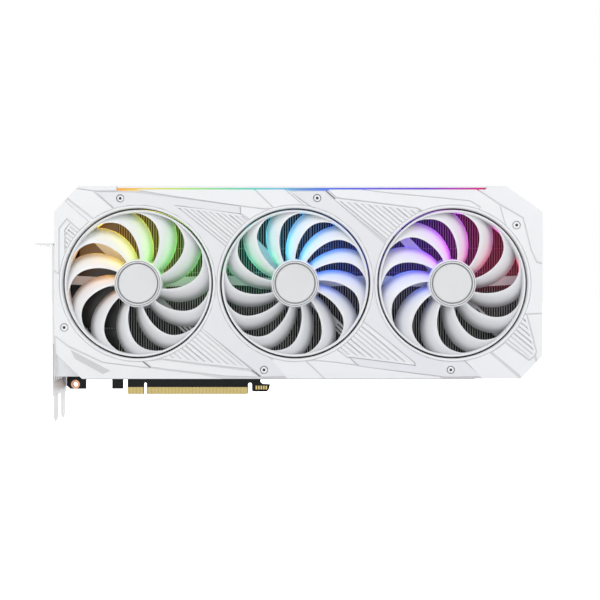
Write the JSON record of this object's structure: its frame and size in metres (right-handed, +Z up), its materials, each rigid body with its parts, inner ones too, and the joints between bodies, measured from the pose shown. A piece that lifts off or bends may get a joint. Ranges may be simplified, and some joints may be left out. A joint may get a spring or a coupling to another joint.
{
  "type": "graphics card",
  "caption": "Long white expansion card with a fan-cooled finned heat sink, slanting accent plates, a light bar, a slot bracket with display sockets and a gold edge connector.",
  "frame": {"origin": "on the circuit board's mid plane, under the middle of the long contact blade, at the tip of the contacts", "axes": "+X along the card away from the bracket, +Y out of the backplate, +Z up from the edge connector; the fans face -Y"},
  "size_m": [0.3368, 0.0578, 0.1569],
  "materials": {
    "white_plastic": "fine satin, moulded",
    "white_metal": "satin white paint",
    "fan_plastic": "satin, moulded",
    "light_guide": "milky, lit from behind",
    "steel": "satin",
    "ferrite": "dull",
    "bearing_bronze": "sintered",
    "grey_plastic": "satin, moulded",
    "black_fins": "black coated",
    "copper": "satin",
    "grey_metal": "satin",
    "board": "solder mask",
    "black_plastic": "moulded"
  },
  "bodies": {
    "card": {"front_shroud": "white_plastic", "trim_plate_left": "white_metal", "trim_plate_right": "white_metal", "light_bar": "light_guide", "lamp_strip": "white_plastic", "shroud_screw_1": "steel", "shroud_screw_2": "steel", "shroud_screw_3": "steel", "shroud_screw_4": "steel", "shroud_screw_5": "steel", "shroud_screw_6": "steel", "sleeve_bearing_left": "bearing_bronze", "sleeve_bearing_middle": "bearing_bronze", "sleeve_bearing_right": "bearing_bronze", "motor_stator_left": "ferrite", "motor_stator_middle": "ferrite", "motor_stator_right": "ferrite", "fan_frame_left": "grey_plastic", "fan_frame_middle": "grey_plastic", "fan_frame_right": "grey_plastic", "fin_stack_left": "black_fins", "fin_stack_right": "black_fins", "heat_pipe_1": "copper", "heat_pipe_2": "copper", "heat_pipe_3": "copper", "heat_pipe_4": "copper", "heat_pipe_5": "copper", "heat_pipe_6": "copper", "cold_plate": "copper", "mid_frame": "grey_metal", "circuit_board": "board", "processor": "steel", "power_socket_1": "black_plastic", "power_socket_2": "black_plastic", "power_socket_3": "black_plastic", "hdmi_socket_1": "steel", "hdmi_socket_2": "steel", "displayport_1": "steel", "displayport_2": "steel", "displayport_3": "steel", "switch_body": "black_plastic", "io_bracket": "steel", "backplate": "white_metal", "retention_brace": "steel"},
    "rotor_left": {"fan_rotor_left": "fan_plastic", "hub_cap_left": "white_metal", "rotor_magnet_left": "ferrite", "rotor_shaft_left": "steel"},
    "rotor_middle": {"fan_rotor_middle": "fan_plastic", "hub_cap_middle": "white_metal", "rotor_magnet_middle": "ferrite", "rotor_shaft_middle": "steel"},
    "rotor_right": {"fan_rotor_right": "fan_plastic", "hub_cap_right": "white_metal", "rotor_magnet_right": "ferrite", "rotor_shaft_right": "steel"},
    "firmware_switch": {"switch_knob": "white_plastic"}
  },
  "joints": [
    {"name": "left_fan_spin", "type": "hinge", "parent": "card", "child": "rotor_left", "pos_m": [-0.03395, -0.051, 0.0775], "axis": [0, -1, 0], "continuous": true},
    {"name": "middle_fan_spin", "type": "hinge", "parent": "card", "child": "rotor_middle", "pos_m": [0.0694, -0.051, 0.0775], "axis": [0, -1, 0], "continuous": true},
    {"name": "right_fan_spin", "type": "hinge", "parent": "card", "child": "rotor_right", "pos_m": [0.17275, -0.051, 0.0775], "axis": [0, -1, 0], "continuous": true},
    {"name": "switch_slide", "type": "slide", "parent": "card", "child": "firmware_switch", "axis": [1, 0, 0], "range_m": [0, 0.002]}
  ]
}
